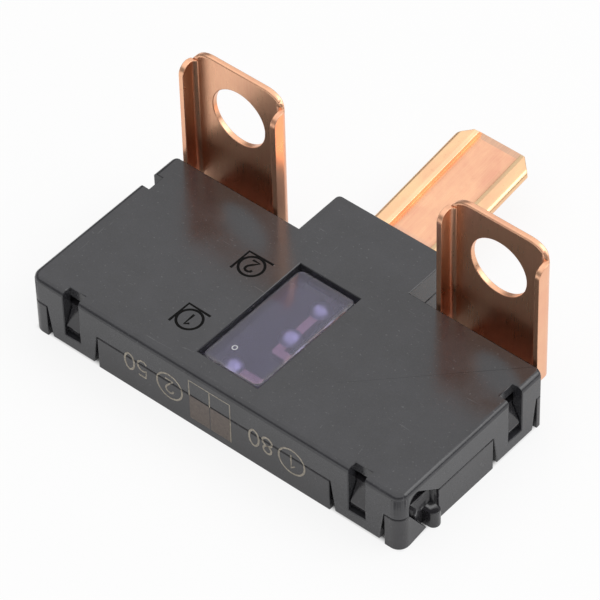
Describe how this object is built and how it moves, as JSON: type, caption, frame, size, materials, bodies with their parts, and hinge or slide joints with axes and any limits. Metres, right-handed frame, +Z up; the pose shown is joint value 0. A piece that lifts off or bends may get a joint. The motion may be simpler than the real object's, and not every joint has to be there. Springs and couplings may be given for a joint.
{
  "type": "multiblock fuse",
  "caption": "Block fuse with upright bolt lugs, a folded blade terminal and a snap-fit black case with a violet inspection window.",
  "frame": {"origin": "middle of the main body's flat underside", "axes": "+X along the case's long side, +Y towards the nose and the blade terminal, +Z up towards the bolt lugs"},
  "size_m": [0.0466, 0.0442, 0.0209],
  "materials": {
    "case_black": "satin, finely eroded mould texture",
    "lens_violet": "clear violet moulding, lightly hazed",
    "copper": "rolled copper alloy with fine draw lines",
    "tin": "bright melted tin"
  },
  "bodies": {
    "root": {"upper_cover": "case_black", "lower_case": "case_black", "window_lens": "lens_violet", "fuse_plate": "copper", "tin_slug_1": "tin", "tin_slug_2": "tin", "tin_slug_3": "tin"}
  },
  "joints": []
}
